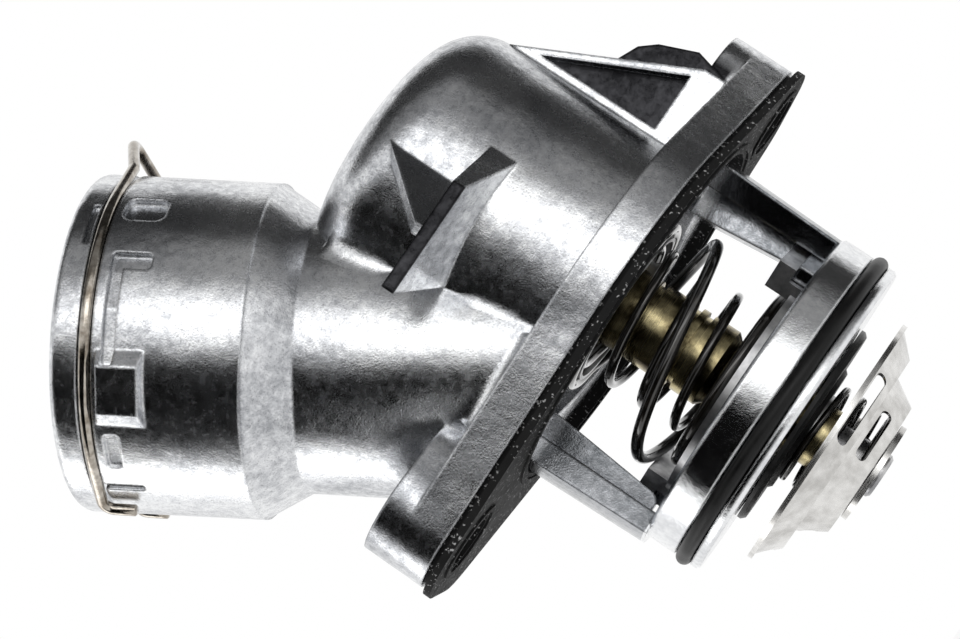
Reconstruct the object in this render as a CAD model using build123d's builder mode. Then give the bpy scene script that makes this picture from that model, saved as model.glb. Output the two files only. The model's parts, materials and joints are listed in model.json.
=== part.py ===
from build123d import *
import os
from math import acos, atan, cos, degrees, radians, sin, sqrt

os.makedirs("parts", exist_ok=True)

# Engine thermostat in its cast aluminium elbow. Millimetres, +Z up.
# The origin is on the insert's own axis, in the flange's sealing face. The dome and the
# hose socket are above that face, the legs, the ring and the working insert below it.
# +X runs along the flange to its short end, and -Y is the side that faces the viewer.

# Clearances
running_gap = 0.3
sliding_fit = 0.06
press_seat = 0.02

# Flange, its bolts and its gasket
flange_thick = 6.3
flange_land = 2.4
bolt_near = (-43.4, -16.4)
near_boss_r = 9.8
near_boss_end = (-38.6, -15.4)
near_boss_end_r = 8.6
near_heel = (-42.2, -6.0)
bolt_far = (38.6, 8.6)
far_boss_r = 8.8
far_heel = (34.0, 14.0)
bolt_hole_r = 4.6
boss_height = 10.5
gasket_thick = 2.0
gasket_sheet = 1.2
gasket_proud = 0.7
gasket_inset = 0.8
gasket_open_gap = 1.2
bead_width = 1.2
bead_height = 0.35
bead_inset = 0.9

# Dome
dome_r = 24.9
dome_height = 47.6
dome_corner = 9.0
wall = 4.0
seat_face_z = 5.0
seat_thick = 2.5
throat_r = 15.5
valve_well_r = 21.0

# Hose socket: its mouth and the lean of its axis
mouth = (-52.16, 0.0, 68.0)
socket_lean = 30.96
socket_r = 27.4
socket_length = 29.6
socket_draft = 0.3
socket_rim_round = 1.3
socket_wall = 5.1
socket_bore_r = socket_r - socket_wall
socket_bore_depth = 24.0
cone_length = 7.0
mouth_lead = 1.6
neck_step = 4.9
neck_r = socket_r - neck_step
neck_bore_r = neck_r - wall
o_groove_depth = 13.0
o_groove_width = 3.6
socket_o_ring_d = 3.0
socket_o_ring_sink = 1.9

# Clip groove and the details round the socket's collar.
# Each recess: angle from the bow, station behind the mouth, length, girth, depth.
clip_wire_d = 1.9
clip_station = 5.6
clip_groove_depth = 1.65
clip_corner = 33.3
clip_bow_station = 2.8
clip_bow_r = 3.0
clip_lift_share = 0.5
clip_bend_r = 1.9
clip_leg_angle = 160.0
clip_leg_length = 5.4
collar_recesses = (
    (44.5, 11.3, 6.8, 5.6, 1.5),
    (67.2, 11.6, 6.0, 2.8, 1.4),
    (74.5, 9.3, 2.0, 9.6, 1.4),
    (92.5, 9.3, 2.0, 9.2, 1.4),
    (132.5, 9.3, 2.4, 6.2, 0.9),
    (149.5, 9.7, 6.8, 1.6, 0.9),
    (52.5, 3.6, 1.1, 8.4, 1.2),
)
recess_corner_share = 0.3
lug_angle = 109.4
lug_station = 11.1
lug_length = 7.8
lug_girth = 13.0
lug_top_girth = 7.6
lug_rise = 1.3

# Ribs on the dome
blade_z = 26.7
blade_edge_half = 1.0
blade_foot_low = 5.4
blade_foot_high = 1.4
blade_edge_x = (-19.3, -0.7)
blade_foot_x = (-12.1, 13.7)
blade_edge_y = -34.0
blade_foot_y = -16.0
web_thick = 2.2
web_foot = (-1.0, -24.0)
web_tip = (-9.6, -33.0)
web_low_z = 28.8
web_high_z = 41.1
gusset_top = (24.4, 38.5)
gusset_toe = (37.8, 10.2)
gusset_bulge = ((32.5, 23.6), (35.9, 22.0), (38.0, 19.4), (40.4, 13.2))
gusset_y = (-5.5, -1.0, 3.5)
gusset_rim = 1.4
gusset_pocket_drop = 5.0
gusset_pocket_depth = 3.0

# Main spring's widest coil, and the legs and ring outside it
main_wire_d = 2.0
main_wide_r = 18.7
rib_inner_r = main_wide_r + running_gap
rib_depth = 5.6
leg_half_angle = 19.0
leg_shift = -0.9
leg_thick = 4.4
leg_r = rib_inner_r + rib_depth + leg_thick
leg_draft = 0.8
rib_thick = 4.0
rib_end_gap = 1.2
rib_slope = 2.0
rib_nose_round = 1.8
ring_setback = 1.2
ring_top_z = -22.5
ring_height = 9.9
ring_r = leg_r - ring_setback
ring_bore_r = 16.8
ring_chamfer = 0.5
ring_groove_centre = 6.9
ring_groove_width = 2.9
ring_o_ring_d = 2.6
ring_o_ring_proud = 0.8
ledge_gap = 1.2
ledge_thick = 2.6
ledge_outer_r = leg_r - leg_thick - ledge_gap
ledge_inner_r = ledge_outer_r - ledge_thick
ledge_height = 2.7
ledge_width = 9.0

# Spring bridge
bridge_thick = 1.5
bridge_setback = 0.8
bridge_r = ledge_inner_r - bridge_setback
bridge_hole_r = 7.6
hook_turn = 26.0
hook_width = 12.0
hook_wall = 2.5
hook_height = 5.6
hook_overhang = 2.2
bridge_window_r = 13.1
bridge_window_width = 1.7
bridge_window_sweep = 50.0
bridge_window_count = 4

# Wax element
capsule_r = 6.8
capsule_shoulder_z = 2.6
capsule_step_z = -18.0
stem_r = 5.2
stem_end_z = -38.0
capsule_groove = (0.7, 1.1)
capsule_groove_z = (-3.5, -10.0, -12.2)
capsule_neck_r = 5.0
guide_foot_r = 7.6
guide_foot_height = 3.0
guide_r = 4.2
guide_top_z = 18.0
guide_bore_floor_z = 5.2
piston_r = 2.0
piston_chamfer = 0.4
piston_tip_gap = 0.5
piston_seat_r = 4.6
piston_seat_length = 5.6
rod_r = 3.8
rod_end_z = -47.8
rod_chamfer = 0.5

# Main valve
valve_r = 17.2
valve_thick = 1.2
valve_edge_r = 0.4
seal_r = 17.6
seal_inner_r = 13.2
seal_thick = 0.9
spring_cup_thick = 0.7
spring_cup_lip = 2.2

# Springs: wire, mean radii along the coil and turns
main_top_r = 15.0
main_foot_r = 15.3
main_turns = 2.64
main_flat_turns = 0.75
main_phase = -185.6
inner_wire_d = 1.6
inner_r = 11.2
inner_turns = 4.84
inner_flat_turns = 0.7
inner_phase = 88.6
coil_steps = 14
coil_swell_lead = 1.7
coil_swell_tail = 0.9

# Ring plate
plate_r = 17.5
plate_thick = 1.2
plate_step = 0.7
plate_hub_r = 10.5
plate_clip_r = 6.6
plate_clip_thick = 0.8
plate_clip_gap = 2.2

# Bypass valve
cup_rim_r = 21.7
cup_rim_z = -37.4
cup_sheet = 0.8
cup_step_1 = (20.6, 17.4, 3.1)
cup_step_2 = (13.9, 11.2, 7.4)
cup_flare_1 = 0.2
cup_flare_2 = 0.4
window_turn = 18.0
window_count = 3
window_1_length = 13.0
window_2_length = 9.0
window_height = 1.9
window_1_reach = 1.0
window_2_reach = 2.0
washer_r = 8.5
washer_thick = 0.9
bypass_wire_d = 1.1
bypass_spring_r = 8.4
bypass_turns = 4.2
bypass_flat_turns = 0.6
bypass_phase = 40.0


# The socket's own plane: +z out of the mouth, +x up to the clip's bow, -y to the viewer
socket_axis = Vector(-sin(radians(socket_lean)), 0, cos(radians(socket_lean)))
bow_direction = Vector(cos(radians(socket_lean)), 0, sin(radians(socket_lean)))
mouth_plane = Plane(origin=mouth, x_dir=bow_direction, z_dir=socket_axis)
socket_profile_plane = Plane(origin=mouth, x_dir=bow_direction, z_dir=bow_direction.cross(socket_axis))
socket_line = Axis(mouth, socket_axis)


def collar_face(angle, station, radius=socket_r):
    """Plane on the socket's skin: x out of the mouth, y round it, z outwards.

    The angle is counted from the clip's bow round the near side.
    """
    outward = mouth_plane.x_dir * cos(radians(angle)) - mouth_plane.y_dir * sin(radians(angle))
    place = mouth_plane.origin + outward * radius - socket_axis * station
    return Plane(origin=place, x_dir=socket_axis, z_dir=outward)


def coil_swell(rise):
    """Share of the coil's bulge at this rise: full near the foot, dying away to the top."""
    bulge = sin(radians(180 * min(rise * coil_swell_lead, 1))) ** 2
    if rise * coil_swell_lead * 2 > 1:
        return max(bulge, coil_swell_tail * (1 - rise))
    return bulge


def coil_path(top, foot, radii, turns, flat_turns, phase):
    """Points of a coil with flat end turns, from its foot to its top."""
    foot_r, wide_r, top_r = radii
    active = turns - 2 * flat_turns
    points = []
    for step in range(round(turns * coil_steps) + 1):
        turn = step / coil_steps
        rise = min(max((turn - flat_turns) / active, 0), 1)
        radius = foot_r + (top_r - foot_r) * rise + (wide_r - max(foot_r, top_r)) * coil_swell(rise)
        angle = radians(phase + 360 * turn)
        points.append((radius * cos(angle), radius * sin(angle), foot + (top - foot) * rise))
    return points


def span_rectangle(x_range, y_range):
    """Rectangle between two x values and two y values of the sketch's plane."""
    with Locations(((x_range[0] + x_range[1]) / 2, (y_range[0] + y_range[1]) / 2)):
        Rectangle(x_range[1] - x_range[0], y_range[1] - y_range[0])


def flange_outline(grow):
    """Outline that flange and gasket share, grown by the given width."""
    with BuildSketch(Plane.XY, mode=Mode.PRIVATE) as outline:
        Circle(gasket_open_r + flange_land + grow)
        with Locations(bolt_near, near_heel):
            Circle(near_boss_r + grow)
        with Locations(bolt_far, far_heel):
            Circle(far_boss_r + grow)
        make_hull()
    return outline.sketch


# Blank of the nozzle: socket barrel, cone and neck in one turned form
gasket_open_r = leg_r + gasket_open_gap
neck_run = mouth[2] / cos(radians(socket_lean)) + neck_r
barrel_end_r = socket_r - socket_draft
with BuildPart() as nozzle_blank:
    with BuildSketch(socket_profile_plane) as nozzle_profile:
        with BuildLine():
            Polyline(
                (0, -neck_run),
                (neck_r, -neck_run),
                (neck_r, -socket_length - cone_length),
                (barrel_end_r - socket_draft, -socket_length),
                (barrel_end_r, -socket_length),
                (socket_r, 0),
                (0, 0),
                close=True,
            )
        make_face()
        rim_corner = nozzle_profile.vertices().sort_by(Axis.X)[-1]
        fillet(rim_corner, socket_rim_round)
    revolve(axis=socket_line)

# Blank of the dome with the nozzle, cut off level with the sealing face
with BuildPart() as elbow_blank:
    with BuildSketch(Plane.XZ) as dome_profile:
        with Locations((dome_r / 2, dome_height / 2)):
            Rectangle(dome_r, dome_height)
        fillet(dome_profile.vertices().group_by(Axis.X)[-1].sort_by(Axis.Y)[-1], dome_corner)
    revolve(axis=Axis.Z)
    add(nozzle_blank.part)
    split(bisect_by=Plane.XY, keep=Keep.TOP)


# Inside of the casting: dome, throat over the valve seat, valve well, neck and hose socket
inner_dome_r = dome_r - wall
seat_top_z = seat_face_z + seat_thick
with BuildPart() as dome_cavity:
    with BuildSketch(Plane.XZ) as cavity_profile:
        with BuildLine():
            Polyline(
                (0, -gasket_thick),
                (valve_well_r, -gasket_thick),
                (valve_well_r, seat_face_z),
                (throat_r, seat_face_z),
                (throat_r, seat_top_z),
                (inner_dome_r, seat_top_z + wall),
                (inner_dome_r, dome_height - wall),
                (0, dome_height - wall),
                close=True,
            )
        make_face()
        fillet(cavity_profile.vertices().group_by(Axis.Y)[-1].sort_by(Axis.X)[-1], dome_corner - wall)
    revolve(axis=Axis.Z)

groove_r = socket_r - clip_groove_depth
groove_half = clip_wire_d / 2 + running_gap / 2
o_groove_r = socket_bore_r + socket_o_ring_sink
with BuildPart() as nozzle_cavity:
    with BuildSketch(socket_profile_plane):
        with BuildLine():
            Polyline(
                (0, -neck_run),
                (neck_bore_r, -neck_run),
                (neck_bore_r, -socket_bore_depth - wall),
                (socket_bore_r, -socket_bore_depth),
                (socket_bore_r, -o_groove_depth - o_groove_width / 2),
                (o_groove_r, -o_groove_depth - o_groove_width / 2),
                (o_groove_r, -o_groove_depth + o_groove_width / 2),
                (socket_bore_r, -o_groove_depth + o_groove_width / 2),
                (socket_bore_r, -mouth_lead),
                (socket_bore_r + mouth_lead / 2, 0),
                (socket_bore_r + mouth_lead / 2, wall),
                (0, wall),
                close=True,
            )
        make_face()
    revolve(axis=socket_line)
    split(bisect_by=Plane.XY.offset(seat_top_z + wall), keep=Keep.TOP)

# One leg: a curved plate with a rib down the middle of its inner face
leg_end_z = ring_top_z - ring_chamfer
rib_end_z = ring_top_z + rib_end_gap
with BuildPart() as leg_blank:
    with BuildSketch(Plane.XY):
        with BuildLine():
            outer_arc = CenterArc((0, 0), leg_r, -leg_half_angle, 2 * leg_half_angle)
            inner_arc = CenterArc((0, 0), leg_r - leg_thick, -leg_half_angle, 2 * leg_half_angle)
            Line(outer_arc @ 0, inner_arc @ 0)
            Line(outer_arc @ 1, inner_arc @ 1)
        make_face()
    with BuildSketch(Plane.XY.offset(leg_end_z)):
        with BuildLine():
            foot_outer = CenterArc((0, 0), leg_r - leg_draft, -leg_half_angle, 2 * leg_half_angle)
            foot_inner = CenterArc((0, 0), leg_r - leg_thick, -leg_half_angle, 2 * leg_half_angle)
            Line(foot_outer @ 0, foot_inner @ 0)
            Line(foot_outer @ 1, foot_inner @ 1)
        make_face()
    loft()
    with BuildSketch(Plane.XZ):
        with BuildLine():
            Polyline(
                (leg_r - leg_thick / 2, rib_end_z),
                (rib_inner_r + rib_slope, rib_end_z),
                (rib_inner_r, 0),
                (leg_r - leg_thick / 2, 0),
                close=True,
            )
        make_face()
    extrude(amount=rib_thick / 2, both=True)
    rib_nose = leg_blank.edges().filter_by(Axis.Y).sort_by(Axis.X)[:2].sort_by(Axis.Z)[0]
    fillet(rib_nose, rib_nose_round)

# The casting
ring_foot_z = ring_top_z - ring_height
groove_top_z = ring_top_z - ring_groove_centre + ring_groove_width / 2
ring_groove_r = ring_r + ring_o_ring_proud - ring_o_ring_d
with BuildPart() as housing_casting:
    add(elbow_blank.part)
    with BuildSketch(Plane.XY):
        add(flange_outline(0))
    extrude(amount=flange_thick)
    # Bolt bosses at both ends of the flange
    with BuildSketch(Plane.XY):
        with Locations(bolt_near):
            Circle(near_boss_r)
        with Locations(near_boss_end):
            Circle(near_boss_end_r)
        make_hull()
        with Locations(bolt_far):
            Circle(far_boss_r)
    extrude(amount=boss_height)
    # Blade rib with its drafted foot, and the web behind it
    with BuildSketch(Plane.XZ.offset(-blade_foot_y)):
        span_rectangle(blade_foot_x, (blade_z - blade_foot_low, blade_z + blade_foot_high))
    with BuildSketch(Plane.XZ.offset(-blade_edge_y)):
        span_rectangle(blade_edge_x, (blade_z - blade_edge_half, blade_z + blade_edge_half))
    loft()
    web_line = Vector(web_tip[0] - web_foot[0], web_tip[1] - web_foot[1], 0)
    web_plane = Plane(origin=(*web_foot, 0), x_dir=web_line, z_dir=web_line.cross(Vector(0, 0, 1)))
    with BuildSketch(web_plane):
        with BuildLine():
            Polyline(
                (-wall, blade_z),
                (web_line.length, blade_z),
                (web_line.length, web_low_z),
                (0, web_high_z),
                (-wall, web_high_z),
                close=True,
            )
        make_face()
    extrude(amount=web_thick / 2, both=True)
    # Gusset from the dome down to the far bolt boss: pocketed in front, bulged at the back
    gusset_root = [(gusset_toe[0], flange_thick / 2), (inner_dome_r + wall / 2, flange_thick / 2)]
    gusset_head = [(inner_dome_r + wall / 2, gusset_top[1]), gusset_top]
    with BuildSketch(Plane.XZ.offset(-gusset_y[0])):
        Polygon(*gusset_head, gusset_toe, *gusset_root, align=None)
    extrude(amount=gusset_y[0] - gusset_y[1])
    with BuildSketch(Plane.XZ.offset(-gusset_y[1])):
        Polygon(*gusset_head, *gusset_bulge, *gusset_root, align=None)
    extrude(amount=gusset_y[1] - gusset_y[2])
    pocket_x = dome_r + gusset_rim / 2
    pocket_foot_z = gusset_toe[1] + gusset_rim
    with BuildSketch(Plane.XZ.offset(-gusset_y[0])):
        Polygon(
            (pocket_x, gusset_top[1] - gusset_pocket_drop),
            (gusset_toe[0] - gusset_rim - gusset_rim / 2, pocket_foot_z),
            (pocket_x, pocket_foot_z),
            align=None,
        )
    extrude(amount=-gusset_pocket_depth, mode=Mode.SUBTRACT)
    # Raised lug on the collar
    with BuildSketch(collar_face(lug_angle, lug_station, socket_r - lug_rise)):
        Rectangle(lug_length, lug_girth)
    with BuildSketch(collar_face(lug_angle, lug_station, socket_r + lug_rise)):
        Rectangle(lug_length - lug_rise, lug_top_girth)
    loft()
    # Insides
    add(dome_cavity.part, mode=Mode.SUBTRACT)
    add(nozzle_cavity.part, mode=Mode.SUBTRACT)
    # Boss for the piston's seat under the dome's crown
    with BuildSketch(Plane.XY.offset(dome_height - wall / 2)):
        Circle(piston_seat_r + wall / 2)
    extrude(amount=-(wall / 2 + piston_seat_length))
    with BuildSketch(Plane.XY.offset(dome_height - wall)):
        Circle(piston_seat_r)
    extrude(amount=-piston_seat_length, mode=Mode.SUBTRACT)
    # Clip groove
    with BuildSketch(mouth_plane.offset(-clip_station - groove_half)):
        Circle(socket_r + wall)
        Circle(groove_r, mode=Mode.SUBTRACT)
    extrude(amount=2 * groove_half, mode=Mode.SUBTRACT)
    # Recesses in the collar, alike on both sides
    for side in (1, -1):
        for angle, station, length, girth, depth in collar_recesses:
            with BuildSketch(collar_face(side * angle, station, socket_r + wall)):
                RectangleRounded(length, girth, min(length, girth) * recess_corner_share)
            extrude(amount=-wall - depth, mode=Mode.SUBTRACT)
    # Legs
    with Locations((leg_shift, 0, 0)):
        add(leg_blank.part)
        add(leg_blank.part.mirror(Plane.YZ))
    # Ring with its rubber ring groove
    with BuildSketch(Plane.XZ):
        with BuildLine():
            Polyline(
                (ring_bore_r, ring_top_z),
                (ring_r - ring_chamfer, ring_top_z),
                (ring_r, ring_top_z - ring_chamfer),
                (ring_r, groove_top_z),
                (ring_groove_r, groove_top_z),
                (ring_groove_r, groove_top_z - ring_groove_width),
                (ring_r, groove_top_z - ring_groove_width),
                (ring_r, ring_foot_z + ring_chamfer),
                (ring_r - ring_chamfer, ring_foot_z),
                (ring_bore_r, ring_foot_z),
                close=True,
            )
        make_face()
    revolve(axis=Axis.Z)
    # Ledges that the bridge's hooks hang on
    for turn in (hook_turn, hook_turn + 180):
        ledge_plane = Plane.XY.offset(ring_top_z).rotated((0, 0, -turn))
        with BuildSketch(ledge_plane):
            with Locations(((ledge_inner_r + ledge_outer_r) / 2, 0)):
                Rectangle(ledge_outer_r - ledge_inner_r, ledge_width)
        extrude(amount=ledge_height)
    # Bolt holes
    with BuildSketch(Plane.XY):
        with Locations(bolt_near, bolt_far):
            Circle(bolt_hole_r)
    extrude(amount=boss_height, mode=Mode.SUBTRACT)


# Gasket on the sealing face: a set-back core, the sheet below it and beads round its openings
with BuildPart() as flange_gasket:
    with BuildSketch(Plane.XY):
        add(flange_outline(-gasket_inset))
    extrude(amount=-gasket_thick)
    with BuildSketch(Plane.XY.offset(-gasket_thick)):
        add(flange_outline(gasket_proud))
    extrude(amount=gasket_sheet)
    with BuildSketch(Plane.XY.offset(-gasket_thick)):
        Circle(gasket_open_r + bead_inset + bead_width)
        with Locations(bolt_near, bolt_far):
            Circle(bolt_hole_r + bead_inset + bead_width)
        Circle(gasket_open_r + bead_inset, mode=Mode.SUBTRACT)
        with Locations(bolt_near, bolt_far):
            Circle(bolt_hole_r + bead_inset, mode=Mode.SUBTRACT)
    extrude(amount=-bead_height)
    with BuildSketch(Plane.XY):
        Circle(gasket_open_r)
        with Locations(bolt_near, bolt_far):
            Circle(bolt_hole_r)
    extrude(amount=-gasket_thick - bead_height, mode=Mode.SUBTRACT)

# Rubber ring in the ring's groove
with BuildPart() as ring_o_ring:
    with BuildSketch(Plane.XZ):
        with Locations((ring_groove_r + ring_o_ring_d / 2 + press_seat, ring_top_z - ring_groove_centre)):
            Circle(ring_o_ring_d / 2)
    revolve(axis=Axis.Z)

# Rubber ring inside the hose socket
with BuildPart() as socket_o_ring:
    with BuildSketch(socket_profile_plane):
        with Locations((o_groove_r - socket_o_ring_d / 2 - press_seat, -o_groove_depth)):
            Circle(socket_o_ring_d / 2)
    revolve(axis=socket_line)

# Wire clip of the hose socket: two legs, the round part in the groove and the bow on top
clip_r = groove_r + clip_wire_d / 2 + running_gap
clip_leg_r = socket_r + clip_wire_d / 2 + running_gap
strand_angle = degrees(acos(clip_r / clip_corner))
lift_run = clip_lift_share * sqrt(clip_corner ** 2 - clip_r ** 2)
lift_r = sqrt(clip_r ** 2 + lift_run ** 2)
lift_angle = strand_angle - degrees(atan(lift_run / clip_r))
ease_angle = clip_leg_angle - degrees(acos(clip_r / clip_leg_r))


def clip_point(angle, radius, station=clip_station):
    return collar_face(angle, station, radius).origin


with BuildPart() as hose_clip:
    with BuildLine() as clip_path:
        for side in (1, -1):
            ease_point = clip_point(side * ease_angle, clip_r)
            FilletPolyline(
                clip_point(side * clip_leg_angle, clip_leg_r, clip_station + clip_leg_length),
                clip_point(side * clip_leg_angle, clip_leg_r),
                ease_point,
                radius=clip_bend_r,
            )
            ThreePointArc(
                ease_point,
                clip_point(side * (ease_angle + strand_angle) / 2, clip_r),
                clip_point(side * strand_angle, clip_r),
            )
        FilletPolyline(
            clip_point(strand_angle, clip_r),
            clip_point(lift_angle, lift_r),
            clip_point(0, clip_corner, clip_bow_station),
            clip_point(-lift_angle, lift_r),
            clip_point(-strand_angle, clip_r),
            radius=clip_bow_r,
        )
    leg_end = clip_point(clip_leg_angle, clip_leg_r, clip_station + clip_leg_length)
    with BuildSketch(Plane(origin=leg_end, z_dir=socket_axis)):
        Circle(clip_wire_d / 2)
    sweep(path=Wire(clip_path.edges()))

# Seat bush of the piston under the dome's crown
seat_bottom_z = dome_height - wall - piston_seat_length
piston_top_z = seat_bottom_z + piston_seat_length / 2
with BuildPart() as piston_seat:
    with BuildSketch(Plane.XY.offset(dome_height - wall)):
        Circle(piston_seat_r - press_seat)
    extrude(amount=-piston_seat_length)
    with BuildSketch(Plane.XY.offset(seat_bottom_z)):
        Circle(piston_r + press_seat)
    extrude(amount=piston_top_z - seat_bottom_z, mode=Mode.SUBTRACT)

with BuildPart() as piston_pin:
    with BuildSketch(Plane.XY.offset(guide_bore_floor_z + piston_tip_gap)):
        Circle(piston_r)
    extrude(amount=piston_top_z - guide_bore_floor_z - piston_tip_gap)
    chamfer(piston_pin.edges().group_by(Axis.Z)[0], piston_chamfer)

# Brass guide above the valve plate
valve_top_z = capsule_shoulder_z + valve_thick
with BuildPart() as element_guide:
    with BuildSketch(Plane.XZ):
        with BuildLine():
            Polyline(
                (0, valve_top_z),
                (guide_foot_r, valve_top_z),
                (guide_foot_r, valve_top_z + guide_foot_height - ring_chamfer),
                (guide_foot_r - ring_chamfer, valve_top_z + guide_foot_height),
                (guide_r, valve_top_z + guide_foot_height),
                (guide_r, guide_top_z - 2 * ring_chamfer),
                (guide_r - ring_chamfer, guide_top_z),
                (piston_r + sliding_fit, guide_top_z),
                (piston_r + sliding_fit, guide_bore_floor_z),
                (0, guide_bore_floor_z),
                close=True,
            )
        make_face()
    revolve(axis=Axis.Z)

# Brass capsule with turned grooves, and its stem
groove_depth, groove_length = capsule_groove
with BuildPart() as wax_capsule:
    with BuildSketch(Plane.XZ):
        with BuildLine():
            Polyline(
                (0, valve_top_z),
                (capsule_neck_r, valve_top_z),
                (capsule_neck_r, capsule_shoulder_z),
                (capsule_r, capsule_shoulder_z),
                (capsule_r, capsule_step_z + (capsule_r - stem_r) / 2),
                (stem_r, capsule_step_z - (capsule_r - stem_r) / 2),
                (stem_r, stem_end_z),
                (0, stem_end_z),
                close=True,
            )
        make_face()
        with Locations([(capsule_r, z) for z in capsule_groove_z]):
            Rectangle(2 * groove_depth, groove_length, mode=Mode.SUBTRACT)
    revolve(axis=Axis.Z)

# Main valve: plate, rubber seal and the cup that centres the springs
with BuildPart() as main_valve_plate:
    with BuildSketch(Plane.XY.offset(capsule_shoulder_z)):
        Circle(valve_r)
        Circle(capsule_neck_r + press_seat, mode=Mode.SUBTRACT)
    extrude(amount=valve_thick)
    fillet(main_valve_plate.edges().group_by(SortBy.LENGTH)[-1].sort_by(Axis.Z)[0], valve_edge_r)

with BuildPart() as main_valve_seal:
    with BuildSketch(Plane.XY.offset(valve_top_z)):
        Circle(seal_r)
        Circle(seal_inner_r, mode=Mode.SUBTRACT)
    extrude(amount=seal_thick)
    fillet(main_valve_seal.edges().group_by(SortBy.LENGTH)[-1].sort_by(Axis.Z)[-1], seal_thick / 2)

spring_top_z = capsule_shoulder_z - spring_cup_thick
lip_r = (main_top_r + inner_r) / 2
with BuildPart() as spring_cup:
    with BuildSketch(Plane.XZ):
        with BuildLine():
            Polyline(
                (capsule_r + press_seat, capsule_shoulder_z),
                (main_top_r + main_wire_d / 2, capsule_shoulder_z),
                (main_top_r + main_wire_d / 2, spring_top_z),
                (lip_r + spring_cup_thick / 2, spring_top_z),
                (lip_r + spring_cup_thick / 2, spring_top_z - spring_cup_lip),
                (lip_r - spring_cup_thick / 2, spring_top_z - spring_cup_lip),
                (lip_r - spring_cup_thick / 2, spring_top_z),
                (capsule_r + press_seat, spring_top_z),
                close=True,
            )
        make_face()
    revolve(axis=Axis.Z)

# Bridge that both springs stand on, hung on the ring's ledges by its two hooks
bridge_top_z = ring_top_z + bridge_thick
hook_outer_r = ledge_inner_r - running_gap / 2
with BuildPart() as spring_bridge:
    with BuildSketch(Plane.XY.offset(ring_top_z)):
        Circle(bridge_r)
        Circle(bridge_hole_r, mode=Mode.SUBTRACT)
        for window in range(bridge_window_count):
            window_arc = CenterArc(
                (0, 0),
                bridge_window_r,
                window * 360 / bridge_window_count - bridge_window_sweep / 2,
                bridge_window_sweep,
            )
            SlotArc(window_arc, bridge_window_width, mode=Mode.SUBTRACT)
    extrude(amount=bridge_thick)
    for turn in (hook_turn, hook_turn + 180):
        with BuildSketch(Plane.XZ.rotated((0, 0, -turn))):
            with BuildLine():
                Polyline(
                    (hook_outer_r - hook_wall, ring_top_z),
                    (hook_outer_r, ring_top_z),
                    (hook_outer_r, ring_top_z + ledge_height),
                    (hook_outer_r + hook_overhang, ring_top_z + ledge_height),
                    (hook_outer_r + hook_overhang, ring_top_z + hook_height),
                    (hook_outer_r - hook_wall, ring_top_z + hook_height),
                    close=True,
                )
            make_face()
        extrude(amount=hook_width / 2, both=True)


# The two nested springs
def swept_coil(points, wire_d):
    with BuildPart(mode=Mode.PRIVATE) as coil:
        with BuildLine() as coil_line:
            Spline(*points)
        with BuildSketch(Plane(origin=coil_line.line @ 0, z_dir=coil_line.line % 0)):
            Circle(wire_d / 2)
        sweep(path=coil_line.line, is_frenet=True)
    return coil.part


with BuildPart() as main_spring:
    add(swept_coil(
        coil_path(
            spring_top_z - main_wire_d / 2 - running_gap,
            bridge_top_z + main_wire_d / 2 + press_seat,
            (main_foot_r, main_wide_r, main_top_r),
            main_turns,
            main_flat_turns,
            main_phase,
        ),
        main_wire_d,
    ))

with BuildPart() as inner_spring:
    add(swept_coil(
        coil_path(
            spring_top_z - inner_wire_d / 2 - running_gap,
            bridge_top_z + inner_wire_d / 2 + press_seat,
            (inner_r, inner_r, inner_r),
            inner_turns,
            inner_flat_turns,
            inner_phase,
        ),
        inner_wire_d,
    ))

# Black plate on the stem, under the ring, and the clip that holds it
plate_top_z = ring_foot_z - running_gap
plate_foot_z = plate_top_z - plate_thick - plate_step
with BuildPart() as ring_plate:
    with BuildSketch(Plane.XZ):
        with BuildLine():
            Polyline(
                (stem_r + press_seat, plate_top_z),
                (plate_r, plate_top_z),
                (plate_r, plate_top_z - plate_thick / 2),
                (plate_r - plate_thick / 2, plate_top_z - plate_thick),
                (plate_hub_r + plate_step, plate_top_z - plate_thick),
                (plate_hub_r, plate_foot_z),
                (stem_r + press_seat, plate_foot_z),
                close=True,
            )
        make_face()
    revolve(axis=Axis.Z)

with BuildPart() as plate_clip:
    with BuildSketch(Plane.XY.offset(plate_foot_z)):
        Circle(plate_clip_r)
        Circle(stem_r + press_seat, mode=Mode.SUBTRACT)
        with Locations((plate_clip_r, 0)):
            Rectangle(plate_clip_r, plate_clip_gap, mode=Mode.SUBTRACT)
    extrude(amount=-plate_clip_thick)

# Bypass valve: rod, stamped cup with windows, washer and spring
cup_floor_z = cup_rim_z - cup_step_2[2]
cup_bottom_z = cup_floor_z - cup_sheet
step_z = cup_rim_z - cup_step_1[2]
with BuildPart() as bypass_rod:
    with BuildSketch(Plane.XY.offset(stem_end_z)):
        Circle(rod_r)
    extrude(amount=rod_end_z - stem_end_z)
    chamfer(bypass_rod.edges().group_by(Axis.Z)[0], rod_chamfer)

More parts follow.
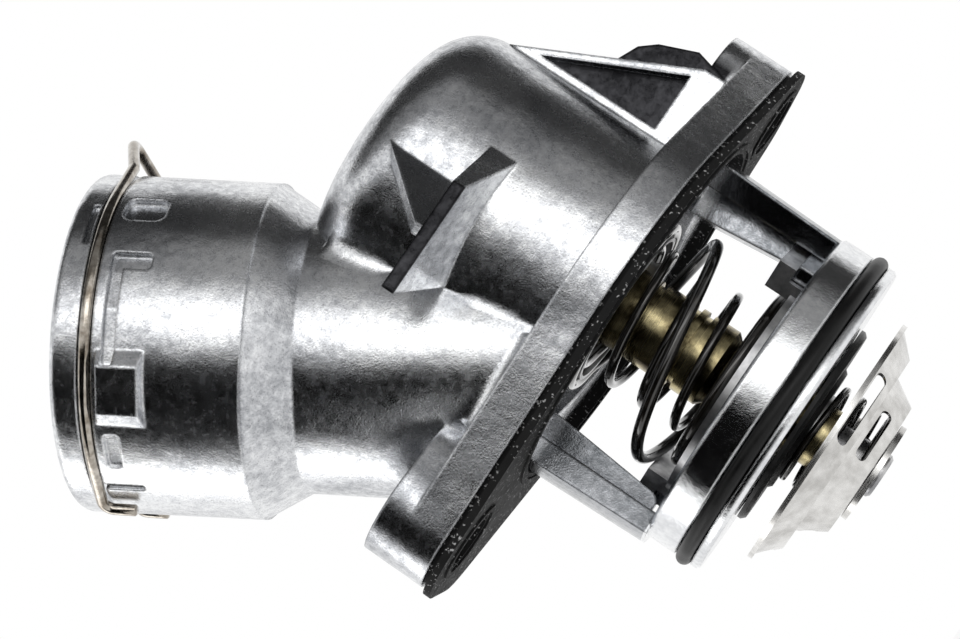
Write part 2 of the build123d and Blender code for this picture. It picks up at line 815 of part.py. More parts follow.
with BuildPart() as bypass_cup:
    with BuildSketch(Plane.XZ):
        with BuildLine():
            Polyline(
                (rod_r + sliding_fit, cup_floor_z),
                (cup_step_2[1], cup_floor_z),
                (cup_step_2[0], step_z),
                (cup_step_1[1], step_z),
                (cup_step_1[0], cup_rim_z),
                (cup_rim_r, cup_rim_z),
                (cup_rim_r, cup_rim_z - cup_sheet),
                (cup_step_1[0] + cup_flare_1, cup_rim_z - cup_sheet),
                (cup_step_1[1] + cup_flare_1, step_z - cup_sheet),
                (cup_step_2[0] + cup_flare_2, step_z - cup_sheet),
                (cup_step_2[1] + cup_flare_2, cup_bottom_z),
                (rod_r + sliding_fit, cup_bottom_z),
                close=True,
            )
        make_face()
    revolve(axis=Axis.Z)
    window_1_z = (cup_rim_z - cup_sheet + step_z) / 2
    window_2_z = (step_z - cup_sheet + cup_floor_z) / 2
    for window in range(window_count):
        turn = window_turn + window * 360 / window_count
        facing = Vector(sin(radians(turn)), -cos(radians(turn)), 0)
        window_rows = (
            (cup_rim_r, cup_step_1[1] - window_1_reach, window_1_z, window_1_length),
            (cup_step_1[1], cup_step_2[1] - window_2_reach, window_2_z, window_2_length),
        )
        for start_r, end_r, height, length in window_rows:
            side = Vector(0, 0, 1).cross(facing)
            with BuildSketch(Plane(origin=facing * start_r + Vector(0, 0, height), x_dir=side, z_dir=facing)):
                SlotOverall(length, window_height)
            extrude(amount=end_r - start_r, mode=Mode.SUBTRACT)

washer_top_z = cup_bottom_z - running_gap
with BuildPart() as bypass_washer:
    with BuildSketch(Plane.XY.offset(washer_top_z)):
        Circle(washer_r)
        Circle(rod_r + press_seat, mode=Mode.SUBTRACT)
    extrude(amount=-washer_thick)

with BuildPart() as bypass_spring:
    add(swept_coil(
        coil_path(
            plate_foot_z - bypass_wire_d / 2 - press_seat,
            cup_floor_z + bypass_wire_d / 2 + running_gap,
            (bypass_spring_r, bypass_spring_r, bypass_spring_r),
            bypass_turns,
            bypass_flat_turns,
            bypass_phase,
        ),
        bypass_wire_d,
    ))

pieces = {
    "housing_casting": housing_casting,
    "flange_gasket": flange_gasket,
    "ring_o_ring": ring_o_ring,
    "socket_o_ring": socket_o_ring,
    "hose_clip": hose_clip,
    "piston_seat": piston_seat,
    "piston_pin": piston_pin,
    "element_guide": element_guide,
    "wax_capsule": wax_capsule,
    "main_valve_plate": main_valve_plate,
    "main_valve_seal": main_valve_seal,
    "spring_cup": spring_cup,
    "main_spring": main_spring,
    "inner_spring": inner_spring,
    "spring_bridge": spring_bridge,
    "ring_plate": ring_plate,
    "plate_clip": plate_clip,
    "bypass_rod": bypass_rod,
    "bypass_spring": bypass_spring,
    "bypass_cup": bypass_cup,
    "bypass_washer": bypass_washer,
}
for name, piece in pieces.items():
    piece.part.label = name
    export_step(piece.part, f"parts/{name}.step")
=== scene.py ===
import json
from math import acos, atan, ceil, cos, hypot, pi, radians, sin, sqrt, tan

import bmesh
import bpy
from mathutils import Matrix, Vector
from mathutils.bvhtree import BVHTree


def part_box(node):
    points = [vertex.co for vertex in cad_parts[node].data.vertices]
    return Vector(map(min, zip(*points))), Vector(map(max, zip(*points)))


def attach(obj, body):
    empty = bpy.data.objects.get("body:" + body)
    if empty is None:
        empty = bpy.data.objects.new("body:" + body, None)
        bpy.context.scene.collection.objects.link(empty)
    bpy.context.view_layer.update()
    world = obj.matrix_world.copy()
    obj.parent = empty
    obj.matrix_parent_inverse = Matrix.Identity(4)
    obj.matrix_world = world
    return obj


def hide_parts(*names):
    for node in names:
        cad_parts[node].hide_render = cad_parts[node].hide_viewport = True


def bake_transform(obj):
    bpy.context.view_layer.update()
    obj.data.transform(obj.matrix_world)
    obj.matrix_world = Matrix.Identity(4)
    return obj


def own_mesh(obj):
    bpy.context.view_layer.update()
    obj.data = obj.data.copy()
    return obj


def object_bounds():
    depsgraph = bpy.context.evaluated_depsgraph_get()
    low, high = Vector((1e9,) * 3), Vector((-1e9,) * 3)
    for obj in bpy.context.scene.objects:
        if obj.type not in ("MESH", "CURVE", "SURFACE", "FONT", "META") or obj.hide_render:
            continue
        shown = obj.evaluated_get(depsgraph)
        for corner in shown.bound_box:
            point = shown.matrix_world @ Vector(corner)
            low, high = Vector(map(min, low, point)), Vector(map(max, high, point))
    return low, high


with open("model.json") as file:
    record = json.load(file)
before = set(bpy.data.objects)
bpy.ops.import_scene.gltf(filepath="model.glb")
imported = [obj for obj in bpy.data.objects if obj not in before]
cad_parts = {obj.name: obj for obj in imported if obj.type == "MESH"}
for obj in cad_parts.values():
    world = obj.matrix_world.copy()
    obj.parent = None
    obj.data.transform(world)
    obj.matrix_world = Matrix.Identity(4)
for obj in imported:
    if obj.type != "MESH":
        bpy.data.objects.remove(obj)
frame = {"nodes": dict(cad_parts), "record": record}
cad_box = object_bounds()

# The looks of an engine thermostat. Metres, +Z up, -Y towards the viewer.
MM = 0.001

# The photograph's view: pixels across, pixels to the metre, and the camera's place and angles
photo_width = 960
photo_scale = 6.26 / MM
camera_distance = 0.3566
camera_target = Vector((-14.48, 0.0, 18.4)) * MM
camera_turn = radians(1.35)
camera_tilt = radians(9.19)
camera_roll = radians(56.24)
sensor_width = 36.0

# Hose socket and neck, as in the solids
mouth = Vector((-52.16, 0.0, 68.0)) * MM
socket_lean = radians(30.96)
socket_r = 27.4 * MM
neck_r = 22.5 * MM

# Wire clip, as in the solids, its stations counted down the socket from the mouth
clip_station = 5.6 * MM
clip_groove_depth = 1.65 * MM
clip_wire_r = 0.95 * MM
clip_gap = 0.3 * MM
clip_corner_r = 33.3 * MM
clip_bow_station = 2.8 * MM
clip_lift_share = 0.5
clip_bow_r = 3.0 * MM
clip_bend_r = 1.9 * MM
clip_leg_angle = radians(160.0)
clip_leg_length = 5.4 * MM
clip_wire_sides = 16
clip_arc_steps = 40
clip_bend_steps = 8

# Dome and flange, as in the solids
dome_r = 24.9 * MM
dome_height = 47.6 * MM
dome_corner = 9.0 * MM
flange_thick = 6.3 * MM

# Cast fillets at the neck, which the solids leave sharp: radii, depth below the skin and steps
neck_fillet_r = 4.5 * MM
foot_fillet_r = 2.5 * MM
fillet_sink = 0.02 * MM
fillet_turns = 144
fillet_arc = 10

# How the fillets' places are found, and how far from the casting's skin they may start
neck_search = 110 * MM
halvings = 40
fine_step = 0.01 * MM
contact_limit = 0.3 * MM

# Springs: radii in millimetres, those of the coil at foot, widest turn and top, start in degrees
spring_specs = {
    "main_spring": dict(wire_r=1.0, coil_r=(15.3, 18.7, 15.0), turns=2.64, flat_turns=0.75, start=-185.6),
    "inner_spring": dict(wire_r=0.8, coil_r=(11.2, 11.2, 11.2), turns=4.84, flat_turns=0.7, start=88.6),
    "bypass_spring": dict(wire_r=0.55, coil_r=(8.4, 8.4, 8.4), turns=4.2, flat_turns=0.6, start=40.0),
}
coil_steps = 60
coil_swell_lead = 1.7
coil_swell_tail = 0.9
spring_wire_sides = 14
wire_end_bevel = 0.25

# The casting's finish changes from the first place to the second, in millimetres along an axis; the
# pocket's and the blade edge's limits bound painted shade
worked_below = (-1.5, -3.0)
legs_above = (-22.6, -22.4)
pocket_beside_dome = (25.2, 25.6)
pocket_behind_rim = (-5.0, -4.4)
pocket_before_back = (0.6, 0.0)
pocket_above_flange = (6.6, 7.6)
blade_edge_before = (-33.6, -33.9)

# The Y of a face's normal from which, and up to which, the face counts as turned to the front, where the
# pocket's painted shade goes
facing_front = (-0.6, -0.8)

# The casting's shaded edges
cast_edge_r = 0.7 * MM

# Floor and sky, lamps in metres and watts, and the cards that are seen in reflections
floor_drop = 45 * MM
floor_half_size = 0.25
floor_glow_share = 0.9
paper_tone = 0.9
sky_strength = 0.55
lamp_size = (1.0, 0.2)
lamp_power = 1.1
card_distance = 0.6
card_half_length = 2.0
card_steps = 12


# Node helpers


def make_node(tree, kind, inputs=None, **settings):
    """A node with its settings and its inputs, which are values or other nodes' outputs."""
    node = tree.nodes.new(kind)
    for key, value in settings.items():
        setattr(node, key, value)
    for key, value in (inputs or {}).items():
        if isinstance(value, bpy.types.NodeSocket):
            tree.links.new(value, node.inputs[key])
        else:
            node.inputs[key].default_value = value
    return node


def empty_tree(owner):
    """The node tree of a material or a world, without its first nodes."""
    owner.use_nodes = True
    owner.node_tree.nodes.clear()
    return owner.node_tree


def grey(tone):
    return (tone, tone, tone, 1)


def noise(tree, place, scale, detail, roughness=0.5, distortion=0.0):
    """The grey value of a noise with so many features to the millimetre."""
    inputs = {
        "Vector": place,
        "Scale": scale / MM,
        "Detail": detail,
        "Roughness": roughness,
        "Distortion": distortion,
    }
    return make_node(tree, "ShaderNodeTexNoise", inputs).outputs["Fac"]


def ramp(tree, value, stops):
    """A grey value turned into a colour by two or more (place, colour) stops."""
    node = make_node(tree, "ShaderNodeValToRGB", {"Fac": value})
    elements = node.color_ramp.elements
    for index, (place, colour) in enumerate(stops):
        stop = elements[index] if index < 2 else elements.new(place)
        stop.position = place
        stop.color = (*colour, 1)
    return node.outputs["Color"]


def grey_ramp(tree, value, stops):
    """The same with grey stops."""
    return ramp(tree, value, [(place, (tone,) * 3) for place, tone in stops])


def remap(tree, value, low, high, new_low, new_high):
    """Linear change of range, clamped."""
    inputs = {
        "Value": value,
        "From Min": low,
        "From Max": high,
        "To Min": new_low,
        "To Max": new_high,
    }
    return make_node(tree, "ShaderNodeMapRange", inputs).outputs["Result"]


def mask(tree, value, limits, unit=MM):
    """0 up to the first limit and 1 past the second, the limits in millimetres or another unit."""
    first, second = limits
    return remap(tree, value, first * unit, second * unit, 0.0, 1.0)


def arithmetic(tree, operation, a, b):
    return make_node(tree, "ShaderNodeMath", {0: a, 1: b}, operation=operation).outputs[0]


def mix_colour(tree, share, a, b, blend="MIX"):
    node = make_node(tree, "ShaderNodeMix", data_type="RGBA", blend_type=blend)
    for socket, value in (("Factor_Float", share), ("A_Color", a), ("B_Color", b)):
        target = next(s for s in node.inputs if s.identifier == socket)
        if isinstance(value, bpy.types.NodeSocket):
            tree.links.new(value, target)
        else:
            target.default_value = value
    return next(s for s in node.outputs if s.identifier == "Result_Color")


def bump(tree, height, depth, normal=None):
    """Relief of so many millimetres."""
    inputs = {"Height": height, "Distance": depth * MM, "Strength": 1.0}
    if normal is not None:
        inputs["Normal"] = normal
    return make_node(tree, "ShaderNodeBump", inputs).outputs["Normal"]


def new_material(name):
    """A material, its node tree, its shader and the output that gives a place on the object."""
    material = bpy.data.materials.new(name)
    material.use_nodes = True
    tree = material.node_tree
    place = make_node(tree, "ShaderNodeTexCoord").outputs["Object"]
    return material, tree, tree.nodes["Principled BSDF"], place


def finish_shader(tree, shader, colour, roughness, normal):
    for socket, value in (("Base Color", colour), ("Roughness", roughness), ("Normal", normal)):
        tree.links.new(value, shader.inputs[socket])


# Materials


def cast_masks(tree, place):
    """Where the casting is worked, where that is a leg, and where shade is painted on the pocket and the
    blade edge.
    """
    split = make_node(tree, "ShaderNodeSeparateXYZ", {"Vector": place}).outputs
    normal = make_node(tree, "ShaderNodeTexCoord").outputs["Normal"]
    normal_y = make_node(tree, "ShaderNodeSeparateXYZ", {"Vector": normal}).outputs["Y"]
    worked = mask(tree, split["Z"], worked_below)
    legs = arithmetic(tree, "MULTIPLY", mask(tree, split["Z"], legs_above), worked)
    # Painted shade: the pocket beside the dome, on faces turned to the front, is darkened in its colour.
    pocket = mask(tree, split["X"], pocket_beside_dome)
    pocket_limits = (
        mask(tree, split["Y"], pocket_behind_rim),
        mask(tree, split["Y"], pocket_before_back),
        mask(tree, split["Z"], pocket_above_flange),
        mask(tree, normal_y, facing_front, unit=1),
    )
    for limit in pocket_limits:
        pocket = arithmetic(tree, "MULTIPLY", pocket, limit)
    # Painted shade: the blade's near edge is darkened in its colour.
    blade_edge = mask(tree, split["Y"], blade_edge_before)
    return worked, legs, arithmetic(tree, "MAXIMUM", pocket, blade_edge)


def cast_metal():
    """Die-cast skin with stains and grain; dull legs, a turned ring, and painted shade on the pocket and
    the blade edge.
    """
    material, tree, shader, place = new_material("cast_aluminium")
    shader.inputs["Metallic"].default_value = 1.0
    worked, legs, painted_shade = cast_masks(tree, place)
    blotch = noise(tree, place, scale=0.07, detail=4.0, roughness=0.55, distortion=0.4)
    mottle = noise(tree, place, scale=0.7, detail=6.0, roughness=0.7, distortion=0.3)
    grain = noise(tree, place, scale=3.2, detail=3.0, roughness=0.65)
    cloud = mix_colour(tree, 0.5, blotch, mottle)

    black = (0.01, 0.01, 0.011)
    deep_shade = (0.035, 0.035, 0.038)
    dark = (0.14, 0.15, 0.16)
    dull = (0.40, 0.41, 0.43)
    plain = (0.66, 0.67, 0.69)
    bright = (0.86, 0.87, 0.88)
    cast_tone = ramp(tree, cloud, ((0.38, dull), (0.5, plain), (0.6, bright)))
    speck = grey_ramp(tree, grain, ((0.34, 0.45), (0.44, 1.0)))
    cast_tone = mix_colour(tree, 0.6, cast_tone, speck, "MULTIPLY")
    worked_tone = ramp(tree, cloud, ((0.36, plain), (0.55, bright)))
    leg_tone = ramp(tree, cloud, ((0.38, dark), (0.6, dull)))
    # Painted shade: near-black tones laid on the pocket and the blade edge.
    painted_shade_tone = ramp(tree, cloud, ((0.38, black), (0.6, deep_shade)))
    tone = mix_colour(tree, worked, cast_tone, worked_tone)
    tone = mix_colour(tree, legs, tone, leg_tone)
    tone = mix_colour(tree, painted_shade, tone, painted_shade_tone)

    cast_rough = remap(tree, mottle, 0.35, 0.65, 0.30, 0.17)
    worked_rough = remap(tree, mottle, 0.35, 0.65, 0.17, 0.08)
    rough = mix_colour(tree, worked, cast_rough, worked_rough)

    soft_edge = make_node(tree, "ShaderNodeBevel", {"Radius": cast_edge_r}, samples=6)
    ripple = noise(tree, place, scale=0.25, detail=2.0)
    unevenness = noise(tree, place, scale=0.04, detail=1.0)
    relief = bump(tree, grain, 0.03, soft_edge.outputs["Normal"])
    relief = bump(tree, ripple, 0.1, relief)
    relief = bump(tree, unevenness, 1.3, relief)
    finish_shader(tree, shader, tone, rough, relief)
    return material


def wire_metal(name, dark, light, rough, metallic):
    """Drawn wire: fine grain and an uneven film of oil."""
    material, tree, shader, place = new_material(name)
    shader.inputs["Metallic"].default_value = metallic
    shader.inputs["Coat Weight"].default_value = 1.0
    shader.inputs["Coat Roughness"].default_value = 0.06
    film = noise(tree, place, scale=0.5, detail=4.0, roughness=0.6)
    grain = noise(tree, place, scale=4.0, detail=2.0)
    colour = ramp(tree, film, ((0.35, dark), (0.7, light)))
    roughness = remap(tree, film, 0.3, 0.7, rough, rough * 1.6)
    finish_shader(tree, shader, colour, roughness, bump(tree, grain, 0.012))
    return material


def turned_metal(name, dark, light, rough):
    """Turned or stamped metal with fine rings round the insert's axis."""
    material, tree, shader, place = new_material(name)
    shader.inputs["Metallic"].default_value = 1.0
    split = make_node(tree, "ShaderNodeSeparateXYZ", {"Vector": place}).outputs
    flat = make_node(tree, "ShaderNodeCombineXYZ", {"X": split["X"], "Y": split["Y"], "Z": 0.0})
    radius = make_node(tree, "ShaderNodeVectorMath", {0: flat.outputs[0]}, operation="LENGTH")
    ring_inputs = {"X": radius.outputs["Value"], "Y": split["Z"], "Z": 0.0}
    ring_place = make_node(tree, "ShaderNodeCombineXYZ", ring_inputs).outputs[0]
    rings = noise(tree, ring_place, scale=5.0, detail=3.0, roughness=0.6)
    # For the brass, this film's dark patches are painted shade from the springs round it.
    film = noise(tree, place, scale=0.25, detail=5.0, roughness=0.6)
    colour = ramp(tree, film, ((0.35, dark), (0.62, light)))
    roughness = remap(tree, rings, 0.3, 0.7, rough, rough * 1.5)
    finish_shader(tree, shader, colour, roughness, bump(tree, rings, 0.01))
    return material


def black_sheet(name, low, high, rough, grain_scale, depth, with_painted_glints=False):
    """Rubber or coated sheet between two greys, with a fine grain; with light specks painted into its
    colour as glints of a cut edge.
    """
    material, tree, shader, place = new_material(name)
    shader.inputs["Specular IOR Level"].default_value = 0.2
    grain = noise(tree, place, grain_scale, detail=3.0, roughness=0.6)
    film = noise(tree, place, scale=0.3, detail=5.0, roughness=0.6)
    colour = grey_ramp(tree, film, ((0.3, low), (0.7, high)))
    if with_painted_glints:
        # Painted highlights: light specks added to the colour as glints of the gasket's cut edge.
        painted_glint_specks = grey_ramp(tree, grain, ((0.62, 0.0), (0.67, 0.5)))
        colour = mix_colour(tree, 1.0, colour, painted_glint_specks, "ADD")
    roughness = remap(tree, film, 0.3, 0.7, rough, rough * 1.4)
    finish_shader(tree, shader, colour, roughness, bump(tree, grain, depth))
    return material


materials = {
    "cast_aluminium": cast_metal(),
    "gasket_black": black_sheet(
        "gasket_black", 0.006, 0.016, rough=0.6, grain_scale=1.4, depth=0.05, with_painted_glints=True
    ),
    "rubber": black_sheet("rubber", 0.006, 0.014, rough=0.32, grain_scale=3.0, depth=0.02),
    "clip_wire": wire_metal(
        "clip_wire", (0.20, 0.165, 0.125), (0.56, 0.52, 0.46), rough=0.12, metallic=1.0
    ),
    "spring_black": wire_metal(
        "spring_black", (0.006, 0.005, 0.004), (0.03, 0.026, 0.021), rough=0.14, metallic=0.5
    ),
    # Painted shade: the brass's dark stop is near black, standing in for the springs' shadow.
    "brass": turned_metal("brass", (0.05, 0.036, 0.016), (0.56, 0.48, 0.27), rough=0.2),
    "steel": turned_metal("steel", (0.30, 0.30, 0.31), (0.62, 0.62, 0.62), rough=0.28),
    "stainless": turned_metal("stainless", (0.55, 0.54, 0.52), (0.83, 0.82, 0.80), rough=0.2),
    "plate_black": black_sheet("plate_black", 0.01, 0.025, rough=0.3, grain_scale=1.5, depth=0.02),
}
slot_of = {row["node"]: row["material_slot"] for row in frame["record"]["subparts"]}
for node_name, cad_node in frame["nodes"].items():
    cad_node.data.materials.clear()
    cad_node.data.materials.append(materials[slot_of[node_name]])


# Object and mesh helpers


def new_object(name, data):
    thing = bpy.data.objects.new(name, data)
    bpy.context.collection.objects.link(thing)
    return thing


def add_piece(name, mesh, body, slot_name, node_name=None):
    """Puts a finished mesh into the scene: smooth, with its finish, on its body if it rides one."""
    piece = new_object(name, mesh)
    mesh.polygons.foreach_set("use_smooth", [True] * len(mesh.polygons))
    mesh.materials.append(materials[slot_name])
    if body is not None:
        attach(piece, body)
    if node_name is not None:
        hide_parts(node_name)
    return piece


def tube_mesh(name, path, wire_r, sides):
    """Round wire along a path, with bevelled ends."""
    shape = bmesh.new()
    tangents = []
    for index in range(len(path)):
        before = path[max(index - 1, 0)]
        after = path[min(index + 1, len(path) - 1)]
        tangents.append((after - before).normalized())
    first, last = tangents[0], tangents[-1]
    end_step = wire_end_bevel * wire_r
    end_share = 1 - wire_end_bevel
    stations = [(path[0], first, end_share), (path[0] + first * end_step, first, 1.0)]
    stations += [(place, tangent, 1.0) for place, tangent in zip(path[1:-1], tangents[1:-1])]
    stations += [(path[-1] - last * end_step, last, 1.0), (path[-1], last, end_share)]
    side = first.orthogonal().normalized()
    rings = []
    for place, tangent, share in stations:
        side = (side - tangent * side.dot(tangent)).normalized()
        other = tangent.cross(side)
        ring = []
        for step in range(sides):
            angle = 2 * pi * step / sides
            offset = (side * cos(angle) + other * sin(angle)) * wire_r * share
            ring.append(shape.verts.new(place + offset))
        rings.append(ring)
    for near, far in zip(rings, rings[1:]):
        for step in range(sides):
            after = (step + 1) % sides
            shape.faces.new((near[step], near[after], far[after], far[step]))
    shape.faces.new(list(reversed(rings[0])))
    shape.faces.new(rings[-1])
    mesh = bpy.data.meshes.new(name)
    shape.to_mesh(mesh)
    shape.free()
    return mesh


# Springs


def coil_path(foot, top, coil_r, turns, flat_turns, start):
    """Points of a coil with flat end turns, from its foot to its top, widest nearer the foot."""
    foot_r, wide_r, top_r = coil_r
    active = turns - 2 * flat_turns
    points = []
    for step in range(ceil(turns * coil_steps) + 1):
        turn = min(step / coil_steps, turns)
        rise = min(max((turn - flat_turns) / active, 0), 1)
        swell_place = rise * coil_swell_lead
        swell = sin(pi * min(swell_place, 1)) ** 2
        past_widest = swell_place > 1 / 2
        if past_widest:
            swell = max(swell, coil_swell_tail * (1 - rise))
        radius = foot_r + (top_r - foot_r) * rise + (wide_r - max(foot_r, top_r)) * swell
        angle = radians(start) + 2 * pi * turn
        points.append(Vector((radius * cos(angle), radius * sin(angle), foot + (top - foot) * rise)))
    return points


def make_spring(node_name, body, seat_is_low):
    """A coil in its CAD solid's place, riding on its body."""
    spec = spring_specs[node_name]
    wire_r = spec["wire_r"] * MM
    coil_r = [radius * MM for radius in spec["coil_r"]]
    low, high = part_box(node_name)
    foot, top = low.z + wire_r, high.z - wire_r
    if not seat_is_low:
        foot, top = top, foot
    path = coil_path(foot, top, coil_r, spec["turns"], spec["flat_turns"], spec["start"])
    mesh = tube_mesh(node_name + "_coil", path, wire_r, spring_wire_sides)
    piece = add_piece(node_name + "_coil", mesh, body, "spring_black", node_name)
    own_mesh(piece)


make_spring("main_spring", "housing", seat_is_low=True)
make_spring("inner_spring", "housing", seat_is_low=True)
make_spring("bypass_spring", "element", seat_is_low=False)


# Wire clip

socket_axis = Vector((-sin(socket_lean), 0, cos(socket_lean)))
bow_direction = Vector((cos(socket_lean), 0, sin(socket_lean)))
near_side = Vector((0, -1, 0))


def socket_point(angle, radius, station):
    """Point round the socket and neck, its angle counted from the bow's direction round the near side."""
    across = bow_direction * cos(angle) + near_side * sin(angle)
    return mouth + across * radius - socket_axis * station


def rounded_corner(before, corner, after, radius):
    """The points of an arc of that radius at a corner between two straight runs."""
    to_before = (before - corner).normalized()
    to_after = (after - corner).normalized()
    half_turn = to_before.angle(to_after) / 2
    middle = (to_before + to_after).normalized()
    centre = corner + middle * (radius / sin(half_turn))
    first = (corner + to_before * (radius / tan(half_turn)) - centre).normalized()
    last = (corner + to_after * (radius / tan(half_turn)) - centre).normalized()
    shares = [step / clip_bend_steps for step in range(clip_bend_steps + 1)]
    return [centre + first.slerp(last, share) * radius for share in shares]


def clip_path():
    """From the near leg's end round the groove, over the bow and round to the far leg's end."""
    groove_r = socket_r - clip_groove_depth
    round_r = groove_r + clip_wire_r + clip_gap
    leg_r = socket_r + clip_wire_r + clip_gap
    strand_angle = acos(round_r / clip_corner_r)
    ease_angle = clip_leg_angle - acos(round_r / leg_r)

    def half(side):
        end = socket_point(side * clip_leg_angle, leg_r, clip_station + clip_leg_length)
        bend = socket_point(side * clip_leg_angle, leg_r, clip_station)
        ease = socket_point(side * ease_angle, round_r, clip_station)
        arc = []
        for step in range(clip_arc_steps + 1):
            angle = ease_angle + (strand_angle - ease_angle) * step / clip_arc_steps
            arc.append(socket_point(side * angle, round_r, clip_station))
        return [end, *rounded_corner(end, bend, ease, clip_bend_r), *arc]

    near, far = half(1), half(-1)
    lift_run = clip_lift_share * sqrt(clip_corner_r**2 - round_r**2)
    lift_r = hypot(round_r, lift_run)
    lift_angle = strand_angle - atan(lift_run / round_r)
    stops = [
        near[-1],
        socket_point(lift_angle, lift_r, clip_station),
        socket_point(0, clip_corner_r, clip_bow_station),
        socket_point(-lift_angle, lift_r, clip_station),
        far[-1],
    ]
    bow = []
    for before, corner, after in zip(stops, stops[1:], stops[2:]):
        bow += rounded_corner(before, corner, after, clip_bow_r)
    return [*near, *bow, *reversed(far)]


clip_mesh = tube_mesh("clip_wire_form", clip_path(), clip_wire_r, clip_wire_sides)
clip_piece = add_piece("clip_wire_form", clip_mesh, None, "clip_wire", "hose_clip")
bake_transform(clip_piece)


# Cast fillets round the neck, where it meets the dome and the flange

housing = frame["nodes"]["housing_casting"]
housing_skin = BVHTree.FromPolygons(
    [housing.matrix_world @ corner.co for corner in housing.data.vertices],
    [list(face.vertices) for face in housing.data.polygons],
)


def dome_gap(place):
    """Distance from the dome's outer skin, positive outside."""
    beside = hypot(place.x, place.y) - (dome_r - dome_corner)
    above = place.z - (dome_height - dome_corner)
    outside = hypot(max(beside, 0), max(above, 0))
    return outside + min(max(beside, above), 0) - dome_corner


def flange_gap(place):
    """Distance above the flange's upper face."""
    return place.z - flange_thick


def gap_slope(gap, place):
    """The direction in which a distance grows."""
    steps = (Vector((fine_step, 0, 0)), Vector((0, fine_step, 0)), Vector((0, 0, fine_step)))
    return Vector([gap(place + step) - gap(place - step) for step in steps]).normalized()


def ball_centre(angle, gap, radius):
    """The centre and station of a ball rolled round the neck, where it touches the other face."""
    near, far = 0.0, neck_search
    if gap(socket_point(angle, neck_r + radius, far)) > radius:
        return None, far
    for _ in range(halvings):
        middle = (near + far) / 2
        if gap(socket_point(angle, neck_r + radius, middle)) > radius:
            near = middle
        else:
            far = middle
    return socket_point(angle, neck_r + radius, near), near


def fillet_section(angle, gap, other_gap, radius):
    """The ball's arc between neck and face, and the sharp corner below it.

    There is no arc where the ball meets the other face first, or where the casting has no skin.
    """
    centre, station = ball_centre(angle, gap, radius)
    _, other_station = ball_centre(angle, other_gap, radius)
    if centre is None or station > other_station + radius:
        return None, None
    to_neck = (socket_point(angle, neck_r, station) - centre).normalized()
    to_face = -gap_slope(gap, centre)
    reach = radius + fillet_sink
    arc = [centre + to_neck.slerp(to_face, n / fillet_arc) * reach for n in range(fillet_arc + 1)]
    corner = centre + (to_neck + to_face) * (reach / (1 + to_neck.dot(to_face)))
    off_skin = max(housing_skin.find_nearest(end)[3] for end in (arc[0], arc[-1]))
    return (arc if off_skin < contact_limit else None), corner


def fillet_rows(gap, other_gap, radius):
    """An arc or None for each angle round the neck. Where the arcs end, they run into the corner."""
    sections = []
    for step in range(fillet_turns + 1):
        sections.append(fillet_section(2 * pi * step / fillet_turns, gap, other_gap, radius))
    rows = []
    for index, (arc, corner) in enumerate(sections):
        arc_before = sections[(index - 1) % fillet_turns][0]
        arc_after = sections[(index + 1) % fillet_turns][0]
        is_end = arc is not None and (arc_before is None or arc_after is None)
        rows.append([corner] * (fillet_arc + 1) if is_end else arc)
    return rows


def fillet_piece(name, gap, other_gap, radius):
    """A thin skin over the sharp corner, its edges sunk just below the neck's and the face's skin."""
    rows = fillet_rows(gap, other_gap, radius)
    points = []
    first_of = {}
    for index, row in enumerate(rows):
        if row is not None:
            first_of[index] = len(points)
            points += row
    faces = []
    for index in range(fillet_turns):
        if index in first_of and index + 1 in first_of:
            here, there = first_of[index], first_of[index + 1]
            faces += [(here + n, here + n + 1, there + n + 1, there + n) for n in range(fillet_arc)]
    mesh = bpy.data.meshes.new(name)
    mesh.from_pydata(points, [], faces)
    add_piece(name, mesh, "housing", "cast_aluminium")


fillet_piece("neck_dome_fillet", dome_gap, flange_gap, neck_fillet_r)
fillet_piece("neck_flange_fillet", flange_gap, dome_gap, foot_fillet_r)


# Floor and sky


def view_ray(tree):
    """1 for rays from the camera, off gloss or through a clear body, otherwise 0."""
    path = make_node(tree, "ShaderNodeLightPath").outputs
    seen = arithmetic(tree, "MAXIMUM", path["Is Camera Ray"], path["Is Glossy Ray"])
    return arithmetic(tree, "MAXIMUM", seen, path["Is Transmission Ray"])


def stage_material(name, share):
    """White to the camera and to gloss, with the object's shadow kept by the diffuse share."""
    material = bpy.data.materials.new(name)
    tree = empty_tree(material)
    paper = make_node(tree, "ShaderNodeBsdfDiffuse", {"Color": grey(paper_tone)})
    glow = make_node(tree, "ShaderNodeEmission", {"Color": grey(1), "Strength": 1.0})
    seen = arithmetic(tree, "MULTIPLY", view_ray(tree), share)
    mixed = make_node(tree, "ShaderNodeMixShader", {0: seen, 1: paper.outputs[0], 2: glow.outputs[0]})
    make_node(tree, "ShaderNodeOutputMaterial", {"Surface": mixed.outputs[0]})
    return material


floor_z = cad_box[0].z - floor_drop
floor_corners = [
    (x * floor_half_size, y * floor_half_size, floor_z) for x, y in ((-1, -1), (1, -1), (1, 1), (-1, 1))
]
floor_mesh = bpy.data.meshes.new("floor")
floor_mesh.from_pydata(floor_corners, [], [(0, 1, 2, 3)])
floor = new_object("floor", floor_mesh)
floor_mesh.materials.append(stage_material("floor_white", floor_glow_share))

world = bpy.data.worlds.new("studio")
bpy.context.scene.world = world
world_tree = empty_tree(world)
sky = make_node(world_tree, "ShaderNodeBackground", {"Color": grey(1), "Strength": sky_strength})
white = make_node(world_tree, "ShaderNodeBackground", {"Color": grey(1), "Strength": 1.0})
sky_parts = {0: view_ray(world_tree), 1: sky.outputs[0], 2: white.outputs[0]}
mixed_sky = make_node(world_tree, "ShaderNodeMixShader", sky_parts)
make_node(world_tree, "ShaderNodeOutputWorld", {"Surface": mixed_sky.outputs[0]})


# Lamps and cards, placed from the camera's view

level = cos(camera_tilt)
forward = Vector((sin(camera_turn) * level, cos(camera_turn) * level, sin(camera_tilt)))
right = Vector((cos(camera_roll), 0, -sin(camera_roll)))
right = (right - forward * right.dot(forward)).normalized()
up = right.cross(forward)
camera_axes = Matrix((right, up, -forward)).transposed().to_4x4()


def studio_place(across, above, towards):
    """A place given from the camera's view: right, up and towards it, in metres from the target."""
    return camera_target + right * across + up * above - forward * towards


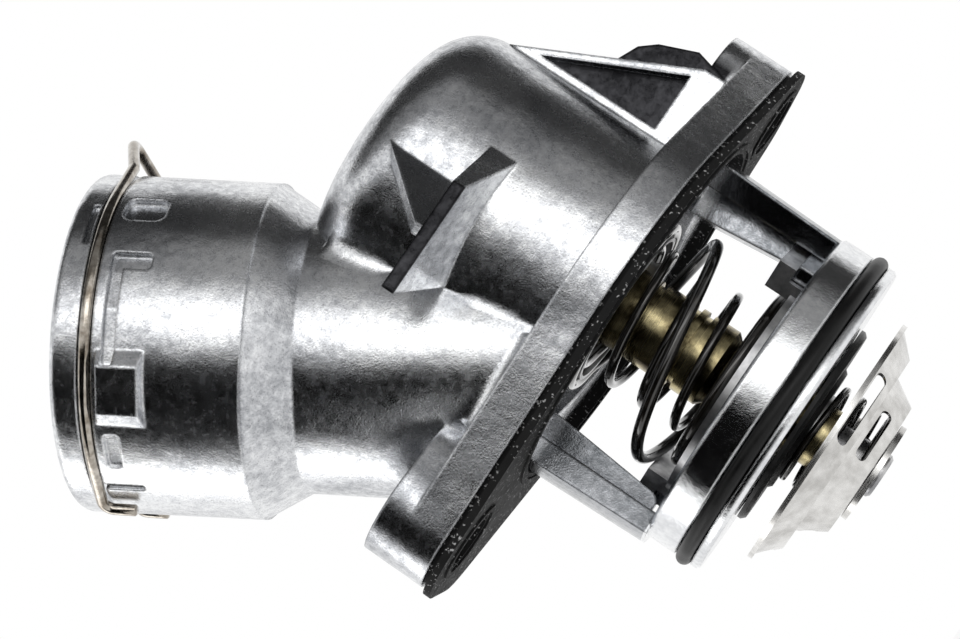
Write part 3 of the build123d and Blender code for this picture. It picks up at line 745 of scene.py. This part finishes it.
def facing_target(place):
    """Turns a lamp's -Z towards the target, level with the camera."""
    back = (place - camera_target).normalized()
    side = (right - back * right.dot(back)).normalized()
    return Matrix((side, back.cross(side), back)).transposed().to_4x4()


def soft_light(name, place):
    lamp_data = bpy.data.lights.new(name, "AREA")
    lamp_data.shape = "RECTANGLE"
    lamp_data.size, lamp_data.size_y = lamp_size
    lamp_data.energy = lamp_power
    lamp = new_object(name, lamp_data)
    lamp.matrix_world = Matrix.Translation(place) @ facing_target(place)


def reflector(name, low_angle, high_angle, tone):
    """A long curved card of one tone round the object, seen only in reflections.

    Its angles are counted upwards from the direction of the camera, round the line from left to right.
    """
    places = []
    for step in range(card_steps + 1):
        angle = radians(low_angle + (high_angle - low_angle) * step / card_steps)
        above, towards = card_distance * sin(angle), card_distance * cos(angle)
        for across in (-card_half_length, card_half_length):
            places.append(studio_place(across, above, towards))
    faces = [(2 * n, 2 * n + 1, 2 * n + 3, 2 * n + 2) for n in range(card_steps)]
    mesh = bpy.data.meshes.new(name)
    mesh.from_pydata(places, [], faces)
    card = new_object(name, mesh)
    material = bpy.data.materials.new(name)
    tree = empty_tree(material)
    glow = make_node(tree, "ShaderNodeEmission", {"Color": grey(tone), "Strength": 1.0})
    make_node(tree, "ShaderNodeOutputMaterial", {"Surface": glow.outputs[0]})
    mesh.materials.append(material)
    card.visible_camera = False
    card.visible_diffuse = False
    card.visible_shadow = False


soft_light("key_above", studio_place(across=0.0, above=0.30, towards=0.75))
soft_light("fill_below", studio_place(across=0.0, above=-0.55, towards=-0.1))
reflector("card_low", low_angle=-76, high_angle=-1, tone=0.003)
reflector("card_middle", low_angle=43, high_angle=76, tone=0.27)
reflector("card_top", low_angle=76, high_angle=124, tone=0.04)


# Camera

camera_data = bpy.data.cameras.new("camera")
camera_data.sensor_width = sensor_width
camera_data.lens = sensor_width * camera_distance * photo_scale / photo_width
camera = new_object("camera", camera_data)
camera.matrix_world = Matrix.Translation(camera_target - forward * camera_distance) @ camera_axes
bpy.context.scene.camera = camera
bpy.context.scene.view_settings.view_transform = "Standard"
